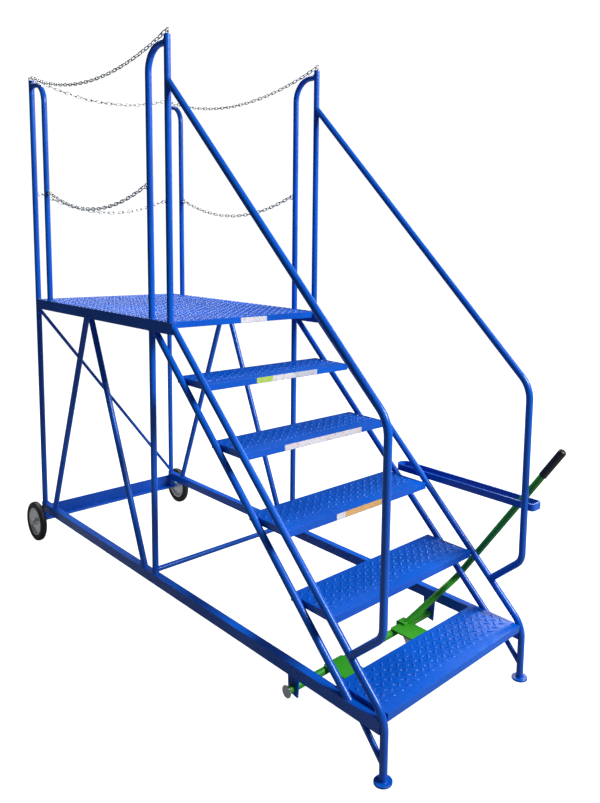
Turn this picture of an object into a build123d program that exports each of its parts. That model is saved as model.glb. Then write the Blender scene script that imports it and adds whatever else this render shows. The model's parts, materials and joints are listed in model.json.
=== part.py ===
"""Rolling warehouse ladder: five treads, a guarded platform, two rear wheels and lever-worked front castors.

Millimetres. +X is to the right of a person climbing, +Y runs from the treads to the wheels, +Z is up.
Everything is drawn with Y = 0 at the front guard posts and Z = 0 on the floor. The finished ladder is then
slid along Y, so that the origin is on the floor under the middle of the whole ladder.
"""
from build123d import *
from math import asinh, atan, cosh, sinh, tan
import os

os.makedirs("parts", exist_ok=True)

# Stairs
PLATFORM_HEIGHT = 1250.0
TREADS = 5
RISE = PLATFORM_HEIGHT / (TREADS + 1)
GOING = 229.5
SLOPE = RISE / GOING
TREAD_DEPTH = 211.0
TREAD_LIP = 25.0
SHEET = 3.0
DECK_FRONT = -8.0
DECK_REAR = 1240.0
DECK_HALF_WIDTH = 378.0

# Tubes
TUBE = 25.4
WALL = 2.0
SIDE = 365.0  # centre plane of each side frame
CLEAR = SIDE - TUBE / 2  # inner face of the side tubes
RAIL_DEPTH = 44.0
RAIL_BOTTOM = PLATFORM_HEIGHT - SHEET - RAIL_DEPTH
RAIL_FRONT = -32.0
BASE_WIDTH = 30.0
BASE_BOTTOM = 153.0
BASE_TOP = 193.0
LEG_Y = -1156.0
LEG_BEND = 100.0
FOOT_THICKNESS = 6.0
FOOT_DIAMETER = 57.0
SMALL_TUBE = 19.0
CROSS_TUBE = 22.0
DIAGONAL = 16.0
SUPPORT_Y = 139.0
LOWER_STRINGER_OFFSET = 163.0

# Guard posts, hoops and handrails
REAR_POST_Y = 1257.0
REAR_HOOP_Y = 1114.0
POST_TOP = 2308.0
HOOP_TOP = 2283.0
HOOP_BEND = 92.0
HANDRAIL_TOP = 2146.6
HANDRAIL_SLOPE = 0.9342
HANDRAIL_Y = -1142.0
HANDRAIL_LOW = 444.0
HANDRAIL_RETURN = (-1015.0, 334.7)
HANDRAIL_BENDS = [110.0, 60.0]

# Braces: where each one starts and ends
FRONT_BRACE = (673.0, 226.0)
REAR_BRACE = (717.0, 1132.0)
LEG_BRACE_TOP = (-1040.0, 176.3)
LEG_BRACE_FOOT_Z = 54.3
DIAGONAL_TOP_Z = 1203.1
DIAGONAL_FOOT_Z = 200.4

# Chains
CHAIN_WIRE = 4.0
LINK_WIDTH = 8.0  # inside
END_LINK_WIDTH = 12.0  # inside
LINK_PITCH = 27.0
LINK_GAP = 0.6
EYE_WIRE = 5.0
EYE_RADIUS = 10.5
HOOK_ROOM = 2.0
EYE_HEIGHT = POST_TOP + 13.5
MIDDLE_CHAIN_Z = 1768.0
SAG_TOP_SIDE = 95.0
SAG_TOP_REAR = 62.0
SAG_MIDDLE_SIDE = 82.0
SAG_MIDDLE_REAR = 75.0

# Wheels
WHEEL_RADIUS = 100.0
WHEEL_INNER = 395.0
WHEEL_OUTER = 425.0
WHEEL_Y = 1258.0
HUB_RADIUS = 70.0
AXLE = 16.0
AXLE_END = 440.0
MEMBER_HALF = 390.0
MEMBER_BOTTOM = 108.0
MEMBER_TOP = 172.0
MEMBER_THICK = 6.0

# Castors and their lever
RUNNING = 0.08  # radial clearance of a turning pin
SHAFT = 27.0
SHAFT_Y = -734.0
SHAFT_Z = 92.0
BRACKET_THICK = 6.0
BRACKET_INNER = SIDE - BASE_WIDTH / 2 + 0.5
CASTOR_X = 172.0
CASTOR_Y = -792.0
CASTOR_TRAIL = 24.0
CASTOR_RADIUS = 37.5
CASTOR_WIDTH = 24.0
CASTOR_AXLE = 10.0
KINGPIN = 12.0
ARM_BOTTOM = SHAFT_Z + SHAFT / 2 + 0.5
ARM_THICK = 6.0
LEVER_PLANE = 405.0
LEVER_END = (LEVER_PLANE, -1259.0, 866.0)
LEVER_CORNER = (LEVER_PLANE, -823.0, 254.0)
LEVER_START = (196.0, -741.0, 106.0)
LEVER_BEND = 60.0
GRIP_LENGTH = 130.0
GRIP_DIAMETER = 29.5
GUIDE_BOTTOM = 631.0
GUIDE_TOP = 657.0
GUIDE_FRONT = -1170.0
GUIDE_REAR = -507.0
GUIDE_WIDTH = 60.0
GUIDE_THICK = 6.0

STANDING = (Align.CENTER, Align.CENTER, Align.MIN)
nodes = {}


def box(x, y, z):
    """A block from its low and high corner on each axis."""
    size = [high - low for low, high in (x, y, z)]
    middle = [(low + high) / 2 for low, high in (x, y, z)]
    return Pos(*middle) * Box(*size)


def rod(points, diameter, bends=()):
    """A solid round bar through the points, with one bend radius for each corner."""
    path = FilletPolyline(*points, radius=list(bends)) if bends else Line(*points)
    section = Plane(origin=path @ 0, z_dir=path % 0) * Circle(diameter / 2)
    return sweep(section, path=path) if bends else extrude(section, amount=path.length)


def pipe(points, diameter, bends=()):
    """A hollow round tube through the points."""
    return rod(points, diameter, bends) - rod(points, diameter - 2 * WALL, bends)


def in_side(*points):
    """Points of the right side frame, from their (y, z)."""
    return [(SIDE, y, z) for y, z in points]


def mirrored(shape):
    """The same shape on the left side."""
    return mirror(shape, about=Plane.YZ)


def add(name, *shapes):
    """Keeps the solids of one node."""
    nodes[name] = [solid for shape in shapes for solid in shape.solids()]


def add_pair(name, right):
    """Keeps a right node and its mirror image."""
    add(f"{name}_right", right)
    add(f"{name}_left", mirrored(right))


def turned(profile, at_y, at_z):
    """A body of revolution about a line along X, from its (radius, x) outline."""
    outline = make_face(Polyline(*[(x, radius) for radius, x in profile], close=True))
    return Pos(0, at_y, at_z) * revolve(outline, axis=Axis.X)


# ---------------------------------------------------------------- treads and platform
def pan(half_width, front, rear, top, lip_half_width):
    """A folded sheet with a lip turned down all round, open underneath."""
    sheet = box((-half_width, half_width), (front, rear), (top - SHEET, top))
    skirt = box((-lip_half_width, lip_half_width), (front, rear), (top - TREAD_LIP, top - SHEET))
    inner = lip_half_width - SHEET
    hollow = box((-inner, inner), (front + SHEET, rear - SHEET), (top - TREAD_LIP, top - SHEET))
    return sheet + (skirt - hollow)


def tread_front(number):
    """Where the front lip of a tread is, counted from the floor."""
    return DECK_FRONT - GOING * (TREADS + 1 - number)


for number in range(1, TREADS + 1):
    front = tread_front(number)
    half_width = SIDE - BASE_WIDTH / 2 if number == 1 else CLEAR
    add(f"tread_{number}", pan(half_width, front, front + TREAD_DEPTH, number * RISE, half_width))

add("platform_deck", pan(DECK_HALF_WIDTH, DECK_FRONT, DECK_REAR, PLATFORM_HEIGHT, CLEAR))

BEARER = 22.0
bearers = []
for third in (1 / 3, 2 / 3):
    y = DECK_FRONT + (DECK_REAR - DECK_FRONT) * third
    z = (PLATFORM_HEIGHT - TREAD_LIP, PLATFORM_HEIGHT - SHEET)
    reach = CLEAR - SHEET
    outer = box((-reach, reach), (y - BEARER / 2, y + BEARER / 2), z)
    inner = box((-reach, reach), (y - BEARER / 2 + WALL, y + BEARER / 2 - WALL), (z[0] + WALL, z[1] - WALL))
    bearers.append(outer - inner)
add("deck_bearers", *bearers)

# ---------------------------------------------------------------- side frames
side_rail_block = box(
    (CLEAR, SIDE + TUBE / 2), (RAIL_FRONT, REAR_POST_Y), (RAIL_BOTTOM, RAIL_BOTTOM + RAIL_DEPTH)
)
base_rail_block = box(
    (SIDE - BASE_WIDTH / 2, SIDE + BASE_WIDTH / 2), (LEG_Y + 6, REAR_POST_Y + 5), (BASE_BOTTOM, BASE_TOP)
)


def on_slope(y, offset=0.0):
    """Height of a stringer's centre line."""
    return PLATFORM_HEIGHT + SLOPE * (y - offset)


rear_post_points = in_side((REAR_POST_Y, BASE_TOP), (REAR_POST_Y, POST_TOP))
front_post_points = in_side((0, PLATFORM_HEIGHT), (0, POST_TOP))
support_points = in_side((SUPPORT_Y, BASE_TOP), (SUPPORT_Y, RAIL_BOTTOM))
stringer_points = in_side((-20, on_slope(-20)), (LEG_Y, on_slope(LEG_Y)), (LEG_Y, FOOT_THICKNESS))


def capped_post(points):
    """A straight upright tube, closed at its top."""
    bottom, top = points
    cap = (top[0], top[1], top[2] - SHEET)
    return rod(points, TUBE) - rod([bottom, cap], TUBE - 2 * WALL)


add_pair("guard_post_rear", capped_post(rear_post_points))
add_pair("guard_post_front", capped_post(front_post_points))
support_post = pipe(support_points, TUBE)
add("support_posts", support_post, mirrored(support_post))

rail_hollow = box(
    (CLEAR + WALL, SIDE + TUBE / 2 - WALL),
    (RAIL_FRONT + SHEET, REAR_POST_Y),
    (RAIL_BOTTOM + WALL, RAIL_BOTTOM + RAIL_DEPTH - WALL),
)
add_pair("side_rail", side_rail_block - rail_hollow - rod(rear_post_points, TUBE))

base_hollow = box(
    (SIDE - BASE_WIDTH / 2 + WALL, SIDE + BASE_WIDTH / 2 - WALL),
    (LEG_Y, REAR_POST_Y + 5),
    (BASE_BOTTOM + WALL, BASE_TOP - WALL),
)
upper_stringer_bar = rod(stringer_points, TUBE, [LEG_BEND])
add_pair("base_rail", base_rail_block - base_hollow - upper_stringer_bar)

upper_stringer = pipe(stringer_points, TUBE, [LEG_BEND]) - side_rail_block
add_pair("stringer_upper", upper_stringer)

lower_start = (130, on_slope(130, LOWER_STRINGER_OFFSET))
lower_end = (-1020, on_slope(-1020, LOWER_STRINGER_OFFSET))
lower_stringer = pipe(in_side(lower_start, lower_end), TUBE)
lower_stringer -= box((CLEAR - 5, SIDE + 20), (0, 200), (RAIL_BOTTOM, RAIL_BOTTOM + 60))
lower_stringer -= box((CLEAR - 5, SIDE + 20), (-1100, -900), (BASE_TOP - 60, BASE_TOP))
add_pair("stringer_lower", lower_stringer - rod(support_points, TUBE))


def side_brace(top_y, bottom_y):
    """One sloping tube between the side rail and the base rail."""
    lean = (bottom_y - top_y) / (RAIL_BOTTOM - BASE_TOP)
    extra = 20.0
    points = in_side((top_y - lean * extra, RAIL_BOTTOM + extra), (bottom_y + lean * extra, BASE_TOP - extra))
    tube = pipe(points, TUBE)
    span = (min(top_y, bottom_y) - 60, max(top_y, bottom_y) + 60)
    return tube & box((CLEAR - 5, SIDE + 20), span, (BASE_TOP, RAIL_BOTTOM))


braces = [side_brace(*FRONT_BRACE), side_brace(*REAR_BRACE)]
add("side_braces", *braces, *[mirrored(brace) for brace in braces])

leg_brace = pipe(in_side(LEG_BRACE_TOP, (LEG_Y, LEG_BRACE_FOOT_Z)), SMALL_TUBE)
leg_brace = leg_brace - base_rail_block - upper_stringer_bar
add("leg_braces", leg_brace, mirrored(leg_brace))

foot = Pos(SIDE, LEG_Y, 0) * Cylinder(FOOT_DIAMETER / 2, FOOT_THICKNESS, align=STANDING)
foot = fillet(foot.edges().group_by(Axis.Z)[-1], 1.5)
add("foot_discs", foot, mirrored(foot))

# ---------------------------------------------------------------- members that join the two sides
cross_z = BASE_TOP + CROSS_TUBE / 2 + 3
cross = pipe([(-SIDE, SUPPORT_Y, cross_z), (SIDE, SUPPORT_Y, cross_z)], CROSS_TUBE)
add("base_cross_tube", cross - rod(support_points, TUBE) - mirrored(rod(support_points, TUBE)))

web_face = REAR_POST_Y + 5
member_span = (-MEMBER_HALF, MEMBER_HALF)
web = box(member_span, (web_face, web_face + MEMBER_THICK), (MEMBER_BOTTOM, MEMBER_TOP))
leg = box(member_span, (web_face - 40, web_face), (MEMBER_BOTTOM, MEMBER_BOTTOM + MEMBER_THICK - 1))
add("rear_cross_member", web + leg)

diagonal = pipe([(-SIDE, REAR_POST_Y, DIAGONAL_TOP_Z), (SIDE, REAR_POST_Y, DIAGONAL_FOOT_Z)], DIAGONAL)
posts = rod(rear_post_points, TUBE) + mirrored(rod(rear_post_points, TUBE))
below_rail = box((-SIDE - 20, SIDE + 20), (REAR_POST_Y - 20, REAR_POST_Y + 20), (100, BASE_TOP))
add("rear_diagonal_brace", diagonal - posts - below_rail)

# ---------------------------------------------------------------- hoops and handrails
def hoop(post_y, foot_y, post_points):
    """A tube up from the deck that bends over into its guard post."""
    points = in_side((foot_y, PLATFORM_HEIGHT), (foot_y, HOOP_TOP), (post_y, HOOP_TOP))
    return pipe(points, TUBE, [HOOP_BEND]) - rod(post_points, TUBE)


add_pair("guard_hoop_front", hoop(0, SUPPORT_Y, front_post_points))
add_pair("guard_hoop_rear", hoop(REAR_POST_Y, REAR_HOOP_Y, rear_post_points))

handrail_points = in_side(
    (-4, HANDRAIL_TOP - HANDRAIL_SLOPE * 4),
    (HANDRAIL_Y, HANDRAIL_TOP + HANDRAIL_SLOPE * HANDRAIL_Y),
    (HANDRAIL_Y, HANDRAIL_LOW),
    HANDRAIL_RETURN,
)
handrail = pipe(handrail_points, TUBE, HANDRAIL_BENDS)
add_pair("handrail", handrail - rod(front_post_points, TUBE) - upper_stringer_bar)

# ---------------------------------------------------------------- chain eyes and chains
def eye(centre, facing, stem_way, reach):
    """A steel ring whose hole faces along a direction, with a short stem out to where it is welded."""
    ring = Plane(origin=centre, z_dir=facing) * Torus(EYE_RADIUS, EYE_WIRE / 2)
    way = Vector(*stem_way)
    centre = Vector(*centre)
    return ring + rod([centre + way * EYE_RADIUS, centre + way * reach], EYE_WIRE + 1)


def flat_eye(centre, post_top, corner):
    """A ring that lies level over a post, on a stem at the corner away from both chains."""
    ring = Pos(*centre) * Torus(EYE_RADIUS, EYE_WIRE / 2)
    reach = EYE_RADIUS / 2**0.5
    x = centre[0] + corner[0] * reach
    y = centre[1] + corner[1] * reach
    return ring + rod([(x, y, post_top), (x, y, centre[2] + 1)], EYE_WIRE + 1)


tube_face = TUBE / 2
middle_reach = tube_face + EYE_WIRE / 2 + EYE_RADIUS + 2
eyes_right = [
    eye((SIDE, 0, EYE_HEIGHT), (1, 0, 0), (0, 0, -1), EYE_HEIGHT - POST_TOP),
    flat_eye((SIDE, REAR_POST_Y, EYE_HEIGHT), POST_TOP, (1, 1)),
    eye((SIDE, SUPPORT_Y + middle_reach, MIDDLE_CHAIN_Z), (1, 0, 0), (0, -1, 0), middle_reach - tube_face),
    eye((SIDE, REAR_HOOP_Y - middle_reach, MIDDLE_CHAIN_Z), (1, 0, 0), (0, 1, 0), middle_reach - tube_face),
    eye((SIDE - middle_reach, REAR_POST_Y, MIDDLE_CHAIN_Z), (0, 1, 0), (1, 0, 0), middle_reach - tube_face),
]
add("chain_eyes", *eyes_right, *[mirrored(ring) for ring in eyes_right])


def link(inner_length, inner_width):
    """One link of round wire, long along Y and flat in XY."""
    outline = SlotCenterToCenter(inner_length - inner_width, inner_width + CHAIN_WIRE, rotation=90)
    path = outline.face().outer_wire()
    return sweep(Plane(origin=path @ 0, z_dir=path % 0) * Circle(CHAIN_WIRE / 2), path=path)


def chain(start, end, sag, odd=True, first_upright=False):
    """Links hung on a catenary between two eye rings, every second one turned a quarter turn.

    The count of plain links is made odd or even, so that both end links fit their rings. The first link
    lies flat, or upright if first_upright.
    """
    start = Vector(*start)
    along = Vector(*end) - start
    span = along.length
    along = along.normalized()
    across = along.cross(Vector(0, 0, 1))
    scale = span**2 / (8 * sag) + sag / 6
    total = 2 * scale * sinh(span / (2 * scale))
    hook = EYE_WIRE / 2 + HOOK_ROOM
    half_end = (LINK_PITCH + LINK_GAP) / 2 + 2
    used_by_ends = 2 * (2 * half_end - hook - LINK_GAP)
    count = round((total - used_by_ends) / LINK_PITCH)
    if count % 2 != odd:
        count += 1
    half = (total - used_by_ends + (count - 1) * LINK_GAP) / (2 * count)
    centres = [half_end - hook]
    centres.append(centres[0] + half_end + half - LINK_GAP)
    for _ in range(count - 1):
        centres.append(centres[-1] + 2 * half - LINK_GAP)
    centres.append(total - centres[0])
    plain = link(2 * half, LINK_WIDTH)
    last = link(2 * half_end, END_LINK_WIDTH)
    links = []
    for index, distance in enumerate(centres):
        reach = scale * asinh((distance - total / 2) / scale)
        height = scale * (cosh(reach / scale) - cosh(span / (2 * scale)))
        slope = atan(sinh(reach / scale))
        centre = start + along * (reach + span / 2) + Vector(0, 0, height)
        tangent = (along + Vector(0, 0, tan(slope))).normalized()
        flat = index % 2 == first_upright
        width = across if flat else across.cross(tangent)
        place = Plane(origin=centre, x_dir=width, z_dir=width.cross(tangent))
        links.append(place * (last if index in (0, len(centres) - 1) else plain))
    return links


for sign, name in ((1, "right"), (-1, "left")):
    x = sign * SIDE
    top_start = (x, EYE_RADIUS, EYE_HEIGHT)
    top_end = (x, REAR_POST_Y - EYE_RADIUS, EYE_HEIGHT)
    add(f"chain_top_{name}", *chain(top_start, top_end, SAG_TOP_SIDE, odd=False))
    middle_start = (x, SUPPORT_Y + middle_reach + EYE_RADIUS, MIDDLE_CHAIN_Z)
    middle_end = (x, REAR_HOOP_Y - middle_reach - EYE_RADIUS, MIDDLE_CHAIN_Z)
    add(f"chain_middle_{name}", *chain(middle_start, middle_end, SAG_MIDDLE_SIDE))

top_ends = [(sign * (SIDE - EYE_RADIUS), REAR_POST_Y, EYE_HEIGHT) for sign in (-1, 1)]
add("chain_top_rear", *chain(*top_ends, SAG_TOP_REAR, first_upright=True))
middle_ends = [(sign * (SIDE - middle_reach - EYE_RADIUS), REAR_POST_Y, MIDDLE_CHAIN_Z) for sign in (-1, 1)]
add("chain_middle_rear", *chain(*middle_ends, SAG_MIDDLE_REAR))

# ---------------------------------------------------------------- rear wheels
axle_bar = rod([(300, WHEEL_Y, WHEEL_RADIUS), (AXLE_END - 8, WHEEL_Y, WHEEL_RADIUS)], AXLE)
add("wheel_axles", axle_bar, mirrored(axle_bar))

tyre_width = WHEEL_OUTER - WHEEL_INNER
tyre = turned(
    [
        (HUB_RADIUS, WHEEL_INNER + 4),
        (HUB_RADIUS + 8, WHEEL_INNER + 1),
        (WHEEL_RADIUS - 9, WHEEL_INNER),
        (WHEEL_RADIUS - 2.5, WHEEL_INNER + 4),
        (WHEEL_RADIUS, WHEEL_INNER + tyre_width * 0.35),
        (WHEEL_RADIUS, WHEEL_INNER + tyre_width * 0.65),
        (WHEEL_RADIUS - 2.5, WHEEL_OUTER - 4),
        (WHEEL_RADIUS - 9, WHEEL_OUTER),
        (HUB_RADIUS + 8, WHEEL_OUTER - 1),
        (HUB_RADIUS, WHEEL_OUTER - 4),
    ],
    WHEEL_Y,
    WHEEL_RADIUS,
)
add_pair("wheel_tyre", tyre)

bore = AXLE / 2 + RUNNING
boss = 14.0
hub = turned(
    [
        (bore, WHEEL_INNER - 1),
        (boss, WHEEL_INNER - 1),
        (boss, 406),
        (50, 409),
        (62, 401),
        (HUB_RADIUS, 399),
        (HUB_RADIUS, WHEEL_OUTER - 4),
        (66, WHEEL_OUTER - 3),
        (60, 413),
        (48, 414),
        (boss + 6, 412),
        (boss, WHEEL_OUTER - 1),
        (bore, WHEEL_OUTER - 1),
    ],
    WHEEL_Y,
    WHEEL_RADIUS,
)
add_pair("wheel_hub", hub)



def washer(low, high):
    """A flat ring on the rear axle, between two places along X."""
    return turned([(AXLE / 2, low), (15, low), (15, high), (AXLE / 2, high)], WHEEL_Y, WHEEL_RADIUS)


cap = turned(
    [
        (AXLE / 2, WHEEL_OUTER + 1.8),
        (12, WHEEL_OUTER + 1.8),
        (12, AXLE_END - 5),
        (9, AXLE_END - 1.5),
        (0, AXLE_END),
        (0, AXLE_END - 8),
        (AXLE / 2, AXLE_END - 8),
    ],
    WHEEL_Y,
    WHEEL_RADIUS,
)
fasteners = [washer(WHEEL_OUTER - 0.7, WHEEL_OUTER + 1.8), washer(MEMBER_HALF + 0.5, MEMBER_HALF + 3.5), cap]
add("axle_washers_and_caps", *fasteners, *[mirrored(piece) for piece in fasteners])

# ---------------------------------------------------------------- castors and their lever
def along_x(low, high, diameter, y=SHAFT_Y, z=SHAFT_Z):
    """A solid bar parallel to X."""
    return rod([(low, y, z), (high, y, z)], diameter)


def facing_right(x):
    """A plane across X whose own axes are the ladder's Y and Z."""
    return Plane(origin=(x, 0, 0), x_dir=(0, 1, 0), z_dir=(1, 0, 0))


bracket_outline = make_face(
    Polyline(
        (SHAFT_Y - 28, BASE_BOTTOM),
        (SHAFT_Y + 28, BASE_BOTTOM),
        (SHAFT_Y + 24, SHAFT_Z - 18),
        (SHAFT_Y - 22, SHAFT_Z - 26),
        close=True,
    )
)
bracket = extrude(facing_right(BRACKET_INNER) * bracket_outline, BRACKET_THICK)
bracket -= along_x(BRACKET_INNER - 1, BRACKET_INNER + BRACKET_THICK + 1, SHAFT + 2 * RUNNING)
add("lever_brackets", bracket, mirrored(bracket))

shaft_left = -381.0
shaft_right = BRACKET_INNER + BRACKET_THICK + 4
shaft = along_x(shaft_left, shaft_right, SHAFT)
add("lever_shaft", shaft)

disc = along_x(shaft_left - 4, shaft_left, 43.0)
add("lever_shaft_washer", fillet(disc.edges(), 1.0))

lever_points = [LEVER_START, LEVER_CORNER, LEVER_END]
collar_x = LEVER_START[0]
collar = box((collar_x - 18, collar_x + 20), (SHAFT_Y - 22, SHAFT_Y + 20), (SHAFT_Z - 18, SHAFT_Z + 27))
collar = fillet(collar.edges().filter_by(Axis.X), 5.0) - shaft
add("lever_collar", collar)
lever_tube = pipe(lever_points, TUBE, [LEVER_BEND]) - collar - shaft

lever_way = (Vector(*LEVER_END) - Vector(*LEVER_CORNER)).normalized()
grip_plane = Plane(origin=Vector(*LEVER_END) - lever_way * (GRIP_LENGTH - 4), z_dir=lever_way)
grip = Cylinder(GRIP_DIAMETER / 2, GRIP_LENGTH, align=STANDING)
grip = grip_plane * fillet(grip.edges().group_by(Axis.Z)[-1], 9.0)
add("lever_grip", grip - rod([LEVER_CORNER, LEVER_END], TUBE))

guide_middle = Pos(SIDE + TUBE / 2 + GUIDE_WIDTH / 2 + 0.05, (GUIDE_FRONT + GUIDE_REAR) / 2, 0)
guide_length = GUIDE_REAR - GUIDE_FRONT


def guide_outline(inset):
    """The guide loop seen from above: square corners in front, a round end at the rear."""
    width = GUIDE_WIDTH - 2 * inset
    length = guide_length - 2 * inset
    outline = Rectangle(width, length)
    outline = fillet(outline.vertices().group_by(Axis.Y)[-1], width / 2 - 2)
    return fillet(outline.vertices().group_by(Axis.Y)[0], 14.0 - inset)


guide_face = guide_middle * Pos(0, 0, GUIDE_BOTTOM) * (guide_outline(0) - guide_outline(GUIDE_THICK))
add("lever_guide", extrude(guide_face, GUIDE_TOP - GUIDE_BOTTOM))

arm_rear = SHAFT_Y + 6
arm_front = CASTOR_Y - 50
arm = box((CASTOR_X - 45, CASTOR_X + 45), (arm_front, arm_rear), (ARM_BOTTOM, ARM_BOTTOM + ARM_THICK))
arm = fillet(arm.edges().filter_by(Axis.Z), 8.0)
arm_right = arm - collar
add("castor_arms", arm_right, mirrored(arm))
add("lever_bar", lever_tube - arm)

plate_bottom = ARM_BOTTOM - SHEET
plate = Pos(CASTOR_X, CASTOR_Y, plate_bottom) * Box(64, 64, SHEET, align=STANDING)
plate = fillet(plate.edges().filter_by(Axis.Z), 6.0)
kingpin_bottom = plate_bottom - 16
kingpin = Pos(CASTOR_X, CASTOR_Y, kingpin_bottom) * Cylinder(KINGPIN / 2, 16, align=STANDING)
head = Pos(CASTOR_X, CASTOR_Y, kingpin_bottom - 3) * Cylinder(9, 3, align=STANDING)
top_plate = plate + kingpin + head
add("castor_top_plates", top_plate, mirrored(top_plate))

fork_top = plate_bottom - 0.5
web_bottom = kingpin_bottom + 0.4
race = Pos(CASTOR_X, CASTOR_Y, web_bottom + SHEET) * Cylinder(
    22, fork_top - web_bottom - SHEET, align=STANDING
)
race = fillet(race.edges().group_by(Axis.Z)[-1], 3.0)
leg_gap = CASTOR_WIDTH / 2 + 3
fork_web = box(
    (CASTOR_X - leg_gap - SHEET, CASTOR_X + leg_gap + SHEET),
    (CASTOR_Y - 22, CASTOR_Y + 22),
    (web_bottom, web_bottom + SHEET),
)
axle_y = CASTOR_Y - CASTOR_TRAIL
leg_outline = make_face(
    Polyline(
        (CASTOR_Y - 22, web_bottom),
        (CASTOR_Y + 22, web_bottom),
        (axle_y + 11, CASTOR_RADIUS - 4),
        (axle_y - 11, CASTOR_RADIUS - 4),
        (axle_y - 11, CASTOR_RADIUS + 6),
        close=True,
    )
)
leg_outline += Pos(axle_y, CASTOR_RADIUS) * Circle(11.7)
fork = race + fork_web
for x in (CASTOR_X - leg_gap - SHEET, CASTOR_X + leg_gap):
    fork += extrude(facing_right(x) * leg_outline, SHEET)
pin_hole = Pos(CASTOR_X, CASTOR_Y, kingpin_bottom - 5) * Cylinder(KINGPIN / 2 + RUNNING, 40, align=STANDING)
castor_axle_bar = along_x(CASTOR_X - leg_gap - 9, CASTOR_X + leg_gap + 9, CASTOR_AXLE, axle_y, CASTOR_RADIUS)
fork = fork - pin_hole - castor_axle_bar
add_pair("castor_fork", fork)

heads = []
for sign in (1, -1):
    flat = Plane(origin=(CASTOR_X + sign * (leg_gap + SHEET), axle_y, CASTOR_RADIUS), z_dir=(sign, 0, 0))
    heads.append(extrude(flat * RegularPolygon(9.5, 6), 6.0))
castor_axle = castor_axle_bar + heads[0] + heads[1]
add_pair("castor_axle", castor_axle)

castor_wheel = turned(
    [
        (CASTOR_AXLE / 2 + RUNNING, -CASTOR_WIDTH / 2 - 2),
        (10, -CASTOR_WIDTH / 2 - 2),
        (12, -CASTOR_WIDTH / 2 + 2),
        (24, -CASTOR_WIDTH / 2 + 3),
        (26, -CASTOR_WIDTH / 2),
        (CASTOR_RADIUS - 4, -CASTOR_WIDTH / 2),
        (CASTOR_RADIUS, -CASTOR_WIDTH / 2 + 4),
        (CASTOR_RADIUS, CASTOR_WIDTH / 2 - 4),
        (CASTOR_RADIUS - 4, CASTOR_WIDTH / 2),
        (26, CASTOR_WIDTH / 2),
        (24, CASTOR_WIDTH / 2 - 3),
        (12, CASTOR_WIDTH / 2 - 2),
        (10, CASTOR_WIDTH / 2 + 2),
        (CASTOR_AXLE / 2 + RUNNING, CASTOR_WIDTH / 2 + 2),
    ],
    axle_y,
    CASTOR_RADIUS,
)
add_pair("castor_wheel", Pos(CASTOR_X, 0, 0) * castor_wheel)

# ---------------------------------------------------------------- the whole ladder
whole = Compound([solid for solids in nodes.values() for solid in solids])
extent = whole.bounding_box()
slide = -(extent.min.Y + extent.max.Y) / 2
print("overall box", extent.min, extent.max, "slid along Y by", round(slide, 3))
for name, solids in nodes.items():
    moved = [Pos(0, slide, 0) * solid for solid in solids]
    export_step(moved[0] if len(moved) == 1 else Compound(moved), f"parts/{name}.step")
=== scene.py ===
"""The look of the rolling warehouse ladder: paint, zinc and rubber, anti-slip studs, weld beads and labels."""
import bmesh
import bpy
import json
import math
import random
from mathutils import Matrix, Vector


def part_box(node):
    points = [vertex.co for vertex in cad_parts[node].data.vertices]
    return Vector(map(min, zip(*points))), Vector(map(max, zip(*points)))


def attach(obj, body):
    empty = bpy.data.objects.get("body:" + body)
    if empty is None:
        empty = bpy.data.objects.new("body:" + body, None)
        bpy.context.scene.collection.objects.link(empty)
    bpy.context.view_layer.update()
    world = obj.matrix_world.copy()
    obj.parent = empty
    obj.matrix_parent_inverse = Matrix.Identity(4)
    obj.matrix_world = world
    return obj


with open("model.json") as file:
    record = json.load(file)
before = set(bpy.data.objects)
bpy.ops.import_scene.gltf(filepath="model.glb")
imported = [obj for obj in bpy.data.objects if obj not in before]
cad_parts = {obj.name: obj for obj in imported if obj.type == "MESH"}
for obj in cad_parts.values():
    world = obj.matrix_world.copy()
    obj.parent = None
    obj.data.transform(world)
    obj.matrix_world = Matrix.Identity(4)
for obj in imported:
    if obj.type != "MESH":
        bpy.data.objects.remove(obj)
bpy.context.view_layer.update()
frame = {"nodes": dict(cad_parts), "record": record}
nodes = frame["nodes"]
random.seed(7)


def corners(node):
    """The low and high corner of a CAD node."""
    low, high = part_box(node)
    return Vector(low), Vector(high)


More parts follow.
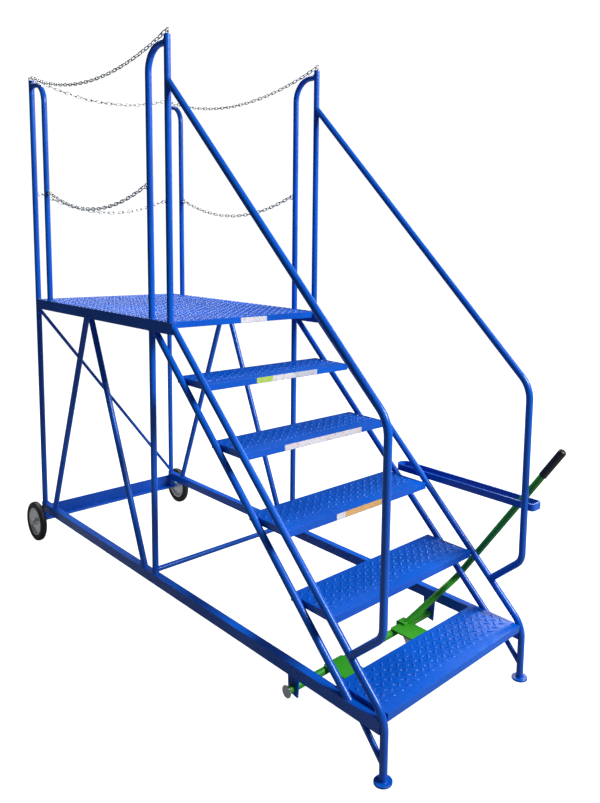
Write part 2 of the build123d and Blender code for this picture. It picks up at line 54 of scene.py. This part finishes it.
# ------------------------------------------------------------------ materials
class Shader:
    """A small builder for one procedural material."""

    def __init__(self, name):
        self.material = bpy.data.materials.new(name)
        self.material.use_nodes = True
        self.tree = self.material.node_tree
        self.surface = self.tree.nodes["Principled BSDF"]
        self.place = self.tree.nodes.new("ShaderNodeTexCoord").outputs["Object"]

    def add(self, kind, **values):
        node = self.tree.nodes.new(kind)
        for key, value in values.items():
            if key in node.inputs:
                node.inputs[key].default_value = value
            else:
                setattr(node, key, value)
        return node

    def link(self, source, target):
        self.tree.links.new(source, target)

    def noise(self, scale, detail=3.0, roughness=0.5):
        """Noise over the object's own space."""
        node = self.add("ShaderNodeTexNoise", Scale=scale, Detail=detail, Roughness=roughness)
        self.link(self.place, node.inputs["Vector"])
        return node.outputs["Fac"]

    def ramp(self, source, *stops):
        """A colour ramp from (place, colour) stops."""
        node = self.add("ShaderNodeValToRGB")
        elements = node.color_ramp.elements
        while len(elements) < len(stops):
            elements.new(0.5)
        for element, (place, colour) in zip(elements, stops):
            element.position = place
            element.color = (*colour, 1.0)
        self.link(source, node.inputs["Fac"])
        return node.outputs["Color"]

    def level(self, source, low, high, dark, light):
        """Maps a range of one value to another."""
        node = self.add("ShaderNodeMapRange")
        node.inputs["From Min"].default_value = low
        node.inputs["From Max"].default_value = high
        node.inputs["To Min"].default_value = dark
        node.inputs["To Max"].default_value = light
        self.link(source, node.inputs["Value"])
        return node.outputs["Result"]

    def mix(self, factor, first, second):
        """Blends two colours by a factor."""
        node = self.add("ShaderNodeMix", data_type="RGBA")
        self.link(factor, node.inputs[0])
        self.link(first, node.inputs[6])
        self.link(second, node.inputs[7])
        return node.outputs[2]

    def bump(self, height, strength, distance, edge=0.0):
        """Relief from a height, over edges rounded by a radius."""
        node = self.add("ShaderNodeBump", Strength=strength, Distance=distance)
        self.link(height, node.inputs["Height"])
        if edge:
            bevel = self.add("ShaderNodeBevel", samples=4, Radius=edge)
            self.link(bevel.outputs["Normal"], node.inputs["Normal"])
        self.link(node.outputs["Normal"], self.surface.inputs["Normal"])


def powder_coat(name, deep, bright):
    """Glossy sprayed powder with a fine orange peel, slight tone drift and a little dust."""
    s = Shader(name)
    drift = s.noise(3.2, 4.0)
    colour = s.ramp(drift, (0.3, deep), (0.7, bright))
    dust = s.level(s.noise(38.0, 6.0, 0.65), 0.56, 0.8, 0.0, 0.06)
    pale = s.ramp(drift, (0.0, [c * 1.1 + 0.05 for c in bright]), (1.0, [c * 1.1 + 0.08 for c in bright]))
    s.link(s.mix(dust, colour, pale), s.surface.inputs["Base Color"])
    s.link(s.level(s.noise(60.0, 5.0, 0.6), 0.3, 0.75, 0.26, 0.34), s.surface.inputs["Roughness"])
    s.surface.inputs["Specular IOR Level"].default_value = 0.35
    s.surface.inputs["Coat Weight"].default_value = 0.12
    s.surface.inputs["Coat Roughness"].default_value = 0.15
    s.bump(s.noise(420.0, 2.0), 0.10, 0.0006, edge=0.0016)
    return s.material


def zinc(name, dark, light, rough=(0.22, 0.42)):
    """Bright zinc plate: cool grey with a mottled crystal bloom and fine scratches."""
    s = Shader(name)
    bloom = s.noise(70.0, 6.0, 0.7)
    s.link(s.ramp(bloom, (0.3, dark), (0.7, light)), s.surface.inputs["Base Color"])
    s.surface.inputs["Metallic"].default_value = 1.0
    s.link(s.level(s.noise(160.0, 4.0), 0.3, 0.7, rough[0], rough[1]), s.surface.inputs["Roughness"])
    s.bump(s.noise(900.0, 3.0), 0.12, 0.0003, edge=0.0005)
    return s.material


def rubber(name, dark, light, grain, rough):
    """Moulded rubber: soft grain, dusty high spots."""
    s = Shader(name)
    s.link(s.ramp(s.noise(26.0, 7.0, 0.65), (0.35, dark), (0.75, light)), s.surface.inputs["Base Color"])
    s.link(s.level(s.noise(90.0, 5.0), 0.3, 0.7, rough - 0.08, rough + 0.12), s.surface.inputs["Roughness"])
    s.bump(s.noise(grain, 3.0), 0.25, 0.0005, edge=0.0012)
    return s.material


def film(name, face, mark):
    """Printed label film: a face colour with a faint soft band of ink, and slightly cloudy gloss."""
    s = Shader(name)
    ink = s.level(s.noise(55.0, 2.0), 0.56, 0.62, 0.0, 0.35)
    clean = s.ramp(s.noise(12.0, 2.0), (0.3, [c * 0.94 for c in face]), (0.7, face))
    inked = s.ramp(s.noise(20.0, 2.0), (0.3, mark), (0.7, [min(1.0, c * 1.15) for c in mark]))
    s.link(s.mix(ink, clean, inked), s.surface.inputs["Base Color"])
    s.link(s.level(s.noise(80.0, 2.0), 0.3, 0.7, 0.28, 0.42), s.surface.inputs["Roughness"])
    s.bump(s.noise(300.0, 2.0), 0.05, 0.0003)
    return s.material


BLUE_DEEP = (0.001, 0.085, 0.52)
BLUE_BRIGHT = (0.002, 0.125, 0.70)
materials = {
    "blue_paint": powder_coat("blue_powder_coat", BLUE_DEEP, BLUE_BRIGHT),
    "green_paint": powder_coat("green_powder_coat", (0.022, 0.30, 0.012), (0.055, 0.48, 0.022)),
    "zinc": zinc("bright_zinc", (0.74, 0.75, 0.74), (0.97, 0.98, 0.96), rough=(0.34, 0.52)),
    "chain": zinc("chain_zinc", (0.26, 0.28, 0.27), (0.52, 0.54, 0.52), rough=(0.26, 0.48)),
    "tyre": rubber("tyre_rubber", (0.006, 0.006, 0.006), (0.020, 0.020, 0.019), 700.0, 0.55),
    "castor_rubber": rubber("castor_rubber", (0.02, 0.02, 0.022), (0.07, 0.07, 0.07), 700.0, 0.5),
    "grip": rubber("grip_rubber", (0.003, 0.003, 0.003), (0.010, 0.010, 0.010), 900.0, 0.38),
}
white_film = film("white_label_film", (0.82, 0.82, 0.80), (0.70, 0.30, 0.28))
red_film = film("red_lined_label_film", (0.82, 0.78, 0.78), (0.62, 0.10, 0.10))
lime_film = film("lime_label_film", (0.50, 0.68, 0.10), (0.70, 0.76, 0.25))
grey_film = film("grey_label_film", (0.66, 0.68, 0.72), (0.16, 0.20, 0.34))
orange_film = film("orange_label_film", (0.80, 0.46, 0.16), (0.60, 0.26, 0.08))

for entry in frame["record"]["subparts"]:
    cad = nodes[entry["node"]]
    material = materials[entry["material_slot"]]
    cad.data.materials.clear()
    cad.data.materials.append(material)


# ------------------------------------------------------------------ pieces
def piece(name, mesh_maker, body, material, smooth=True):
    """Builds a mesh piece, gives it its look and lets it ride on a body."""
    mesh = bpy.data.meshes.new(name)
    built = bmesh.new()
    mesh_maker(built)
    built.to_mesh(mesh)
    built.free()
    for polygon in mesh.polygons:
        polygon.use_smooth = smooth
    made = bpy.data.objects.new(name, mesh)
    bpy.context.scene.collection.objects.link(made)
    mesh.materials.append(material)
    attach(made, body)
    return made


STUD_LENGTH = 0.029
STUD_WIDTH = 0.0105
STUD_HEIGHT = 0.0022
STUD_PITCH = 0.037
STUD_SIDES = 12
FOOT_CLEARANCE = 0.026


def stud(built, centre, angle):
    """One pressed tear-shaped stud: a low dome, longer one way, in rings that sink into the sheet."""
    turn = Matrix.Rotation(angle, 3, "Z")
    rings = ((1.0, -0.12), (0.86, 0.42), (0.62, 0.80), (0.32, 0.97))
    loops = []
    for spread, lift in rings:
        loop = []
        for step in range(STUD_SIDES):
            turned = 2 * math.pi * step / STUD_SIDES
            offset = Vector((math.cos(turned) * STUD_LENGTH / 2, math.sin(turned) * STUD_WIDTH / 2, 0)) * spread
            loop.append(built.verts.new(centre + turn @ offset + Vector((0, 0, STUD_HEIGHT * lift))))
        loops.append(loop)
    for outer, inner in zip(loops, loops[1:]):
        for step in range(STUD_SIDES):
            after = (step + 1) % STUD_SIDES
            built.faces.new((outer[step], outer[after], inner[after], inner[step]))
    built.faces.new(loops[-1])


def stud_field(low, high, top, keep_clear=()):
    """Rows of studs in alternating directions over a rectangle."""
    def make(built):
        across = int((high.x - low.x) / STUD_PITCH)
        rows = int((high.y - low.y) / (STUD_PITCH / 2))
        left = (low.x + high.x) / 2 - across * STUD_PITCH / 2
        front = (low.y + high.y) / 2 - (rows - 1) * STUD_PITCH / 4
        for row in range(rows):
            for column in range(across + row % 2):
                x = left + STUD_PITCH * (column + (0.5 if row % 2 == 0 else 0.0))
                y = front + row * STUD_PITCH / 2
                if any(abs(x - cx) < FOOT_CLEARANCE and abs(y - cy) < FOOT_CLEARANCE for cx, cy in keep_clear):
                    continue
                stud(built, Vector((x, y, top)), math.radians(45 if row % 2 else -45))
    return make


NOSE_STRIP = 0.036
BACK_EDGE = 0.012
for number in range(1, 6):
    low, high = corners(f"tread_{number}")
    field_low = Vector((low.x + 0.006, low.y + NOSE_STRIP, 0))
    field_high = Vector((high.x - 0.006, high.y - BACK_EDGE, 0))
    piece(
        f"tread_{number}_studs", stud_field(field_low, field_high, high.z),
        "frame", materials["blue_paint"],
    )

deck_low, deck_high = corners("platform_deck")
uprights = [
    "guard_post_front_left", "guard_post_front_right", "guard_hoop_front_left", "guard_hoop_front_right",
    "guard_hoop_rear_left", "guard_hoop_rear_right",
]
TUBE = 0.0254


def foot_of(node):
    """Where a tube that stands on the deck has its foot centre."""
    low, high = corners(node)
    x = (low.x + high.x) / 2
    if "hoop_front" in node:
        return Vector((x, high.y - TUBE / 2, low.z))
    if "hoop_rear" in node:
        return Vector((x, low.y + TUBE / 2, low.z))
    return Vector((x, (low.y + high.y) / 2, low.z))


feet = [foot_of(node) for node in uprights]
field_low = Vector((deck_low.x + 0.008, deck_low.y + BACK_EDGE, 0))
field_high = Vector((deck_high.x - 0.008, deck_high.y - BACK_EDGE, 0))
piece(
    "platform_studs",
    stud_field(field_low, field_high, deck_high.z, [(foot.x, foot.y) for foot in feet]),
    "frame", materials["blue_paint"],
)


# ------------------------------------------------------------------ weld beads
def bead(built, path, radius, closed=True):
    """A lumpy weld bead along points: overlapping ripples of a small half round."""
    around = 7
    loops = []
    count = len(path)
    for index, point in enumerate(path):
        before = path[index - 1] if closed or index else point
        after = path[(index + 1) % count] if closed or index < count - 1 else point
        along = (after - before).normalized()
        side = along.orthogonal().normalized()
        up = along.cross(side)
        swell = radius * (0.86 + 0.22 * (index % 3) / 2 + random.uniform(-0.05, 0.05))
        loops.append([
            built.verts.new(point + (side * math.cos(a) + up * math.sin(a)) * swell)
            for a in (2 * math.pi * step / around for step in range(around))
        ])
    pairs = list(zip(loops, loops[1:]))
    if closed:
        pairs.append((loops[-1], loops[0]))
    for first, second in pairs:
        start = min(range(around), key=lambda shift: sum(
            (first[k].co - second[(k + shift) % around].co).length for k in range(around)
        ))
        for step in range(around):
            after = (step + 1) % around
            a, b = second[(after + start) % around], second[(step + start) % around]
            built.faces.new((first[step], first[after], a, b))


def ring(centre, normal, radius, long_way=None, stretch=1.0, count=60):
    """Points round a tube where it meets a flat face, stretched for a slanting tube."""
    normal = Vector(normal).normalized()
    first = Vector(long_way).normalized() if long_way else normal.orthogonal().normalized()
    second = normal.cross(first)
    angles = [2 * math.pi * step / count for step in range(count)]
    return [centre + first * math.cos(a) * radius * stretch + second * math.sin(a) * radius for a in angles]


BEAD = 0.0022
welds = []
for foot in feet:
    welds.append(ring(foot, (0, 0, 1), TUBE / 2 + BEAD * 0.4))

base_top = corners("base_rail_left")[1].z
rail_bottom = corners("side_rail_left")[0].z
for side in ("left", "right"):
    low, high = corners(f"guard_post_rear_{side}")
    x = (low.x + high.x) / 2
    rear_y = (low.y + high.y) / 2
    welds.append(ring(Vector((x, rear_y, base_top)), (0, 0, 1), TUBE / 2 + BEAD * 0.4))
    support_y = sum(point.y for point in corners("support_posts")) / 2
    for z in (base_top, rail_bottom):
        welds.append(ring(Vector((x, support_y, z)), (0, 0, 1), TUBE / 2 + BEAD * 0.4))
    brace_low, brace_high = corners("side_braces")
    reach = TUBE / 2 * 1.087
    welds.append(ring(Vector((x, brace_low.y + reach, base_top)), (0, 0, 1), TUBE / 2, (0, 1, 0), 1.09))
    welds.append(ring(Vector((x, brace_high.y - reach, base_top)), (0, 0, 1), TUBE / 2, (0, 1, 0), 1.09))
    foot_top = corners("foot_discs")[0].z + 0.006
    leg_y = corners(f"stringer_upper_{side}")[0].y + TUBE / 2
    welds.append(ring(Vector((x, leg_y, foot_top)), (0, 0, 1), TUBE / 2 + BEAD * 0.4))
    for post, hoop in (("front", "hoop_front"), ("rear", "hoop_rear")):
        post_low, post_high = corners(f"guard_post_{post}_{side}")
        hoop_low, hoop_high = corners(f"guard_{hoop}_{side}")
        post_y = (post_low.y + post_high.y) / 2
        way = 1 if post == "front" else -1
        centre = Vector((x, post_y + way * TUBE * 0.36, hoop_high.z - TUBE / 2))
        welds.append(ring(centre, (0, 1, 0), TUBE / 2))


def all_welds(built):
    for path in welds:
        bead(built, path, BEAD)


piece("weld_beads", all_welds, "frame", materials["blue_paint"])


# ------------------------------------------------------------------ labels
def label(name, node, x_from, x_to, material, inset=0.0012):
    """A blank strip of label film on the front lip of a tread or the deck."""
    low, high = corners(node)
    bottom = low.z + inset
    top = high.z - 0.0022
    front = low.y - 0.0003
    radius = 0.0025

    def make(built):
        points = []
        for cx, cz, start in (
            (x_to - radius, top - radius, 0), (x_from + radius, top - radius, 90),
            (x_from + radius, bottom + radius, 180), (x_to - radius, bottom + radius, 270),
        ):
            for step in range(5):
                angle = math.radians(start + step * 22.5)
                points.append((cx + radius * math.cos(angle), cz + radius * math.sin(angle)))
        face = built.faces.new([built.verts.new((x, front, z)) for x, z in points])
        edge = bmesh.ops.extrude_face_region(built, geom=[face])
        moved = [v for v in edge["geom"] if isinstance(v, bmesh.types.BMVert)]
        bmesh.ops.translate(built, verts=moved, vec=(0, 0.0005, 0))
        bmesh.ops.recalc_face_normals(built, faces=built.faces)
    return piece(name, make, "frame", material, smooth=False)


label("deck_label", "platform_deck", -0.043, 0.091, white_film)
label("tread_5_label_lime", "tread_5", -0.134, -0.056, lime_film)
label("tread_5_label_white", "tread_5", -0.056, 0.057, white_film)
label("tread_5_label_grey", "tread_5", 0.057, 0.176, grey_film)
label("tread_4_label", "tread_4", -0.180, 0.215, red_film)
label("tread_3_label_white", "tread_3", -0.132, -0.090, white_film)
label("tread_3_label_orange", "tread_3", -0.090, 0.098, orange_film)


# ------------------------------------------------------------------ stage, lights and camera
def stage_floor():
    """A wide pale floor: grey as a reflector of light, and glowing white to the camera."""
    mesh = bpy.data.meshes.new("studio_floor")
    built = bmesh.new()
    bmesh.ops.create_grid(built, x_segments=4, y_segments=4, size=30)
    built.to_mesh(mesh)
    built.free()
    floor = bpy.data.objects.new("studio_floor", mesh)
    bpy.context.scene.collection.objects.link(floor)
    floor.location.z = -0.0005
    s = Shader("studio_floor_paint")
    s.surface.inputs["Base Color"].default_value = (0.28, 0.29, 0.31, 1)
    s.surface.inputs["Roughness"].default_value = 0.9
    seen = s.add("ShaderNodeLightPath")
    glow = s.add("ShaderNodeEmission", Strength=FLOOR_GLOW)
    both = s.add("ShaderNodeAddShader")
    pick = s.add("ShaderNodeMixShader")
    s.link(s.surface.outputs["BSDF"], both.inputs[0])
    s.link(glow.outputs["Emission"], both.inputs[1])
    s.link(seen.outputs["Is Camera Ray"], pick.inputs["Fac"])
    s.link(s.surface.outputs["BSDF"], pick.inputs[1])
    s.link(both.outputs["Shader"], pick.inputs[2])
    s.link(pick.outputs["Shader"], s.tree.nodes["Material Output"].inputs["Surface"])
    mesh.materials.append(s.material)


def studio_world():
    """White surroundings: bright to the camera, dim as light."""
    world = bpy.data.worlds.new("studio")
    world.use_nodes = True
    tree = world.node_tree
    lit = tree.nodes["Background"]
    lit.inputs["Color"].default_value = (0.93, 0.96, 1.0, 1)
    lit.inputs["Strength"].default_value = WORLD_LIGHT
    shown = tree.nodes.new("ShaderNodeBackground")
    shown.inputs["Color"].default_value = (1, 1, 1, 1)
    shown.inputs["Strength"].default_value = WORLD_SEEN
    seen = tree.nodes.new("ShaderNodeLightPath")
    pick = tree.nodes.new("ShaderNodeMixShader")
    tree.links.new(seen.outputs["Is Camera Ray"], pick.inputs["Fac"])
    tree.links.new(lit.outputs["Background"], pick.inputs[1])
    tree.links.new(shown.outputs["Background"], pick.inputs[2])
    tree.links.new(pick.outputs["Shader"], tree.nodes["World Output"].inputs["Surface"])
    bpy.context.scene.world = world


def area_light(name, place, target, size, power):
    """A soft square light that points at a target."""
    light = bpy.data.lights.new(name, "AREA")
    light.shape = "SQUARE"
    light.size = size
    light.energy = power
    made = bpy.data.objects.new(name, light)
    made.location = place
    made.rotation_euler = (Vector(target) - Vector(place)).to_track_quat("-Z", "Y").to_euler()
    bpy.context.scene.collection.objects.link(made)


FLOOR_GLOW = 1.05
WORLD_LIGHT = 0.07
WORLD_SEEN = 1.05
MIDDLE = (0, 0, 1.0)
studio_world()
stage_floor()
area_light("key", (1.8, -4.4, 4.4), MIDDLE, 1.8, 400)
area_light("top", (0.6, 3.4, 4.8), (0, 0.2, 0.8), 3.0, 240)
area_light("right_fill", (4.6, 0.4, 2.6), MIDDLE, 2.4, 70)
bpy.context.scene.view_settings.view_transform = "Standard"

CAMERA_PLACE = (-1.80425, -2.49849, 1.57492)
AZIMUTH = math.radians(-46.287)
ELEVATION = math.radians(6.876)
ROLL = math.radians(1.292)
FOCAL_PER_HEIGHT = 720.227 / 803
SHIFT = (-0.0922, -0.0916)


def aim_camera():
    """The camera that sees the ladder from the front left, a little above the platform."""
    back = Vector((
        math.sin(AZIMUTH) * math.cos(ELEVATION), -math.cos(AZIMUTH) * math.cos(ELEVATION), math.sin(ELEVATION),
    ))
    level = Vector((math.cos(AZIMUTH), math.sin(AZIMUTH), 0))
    upright = back.cross(level)
    right = level * math.cos(ROLL) + upright * math.sin(ROLL)
    up = upright * math.cos(ROLL) - level * math.sin(ROLL)
    data = bpy.data.cameras.new("camera")
    data.sensor_width = 36.0
    data.lens = FOCAL_PER_HEIGHT * data.sensor_width
    data.shift_x, data.shift_y = SHIFT
    data.clip_end = 100
    camera = bpy.data.objects.new("camera", data)
    turn = Matrix((right, up, back)).transposed().to_4x4()
    camera.matrix_world = Matrix.Translation(CAMERA_PLACE) @ turn
    bpy.context.scene.collection.objects.link(camera)
    bpy.context.scene.camera = camera


aim_camera()
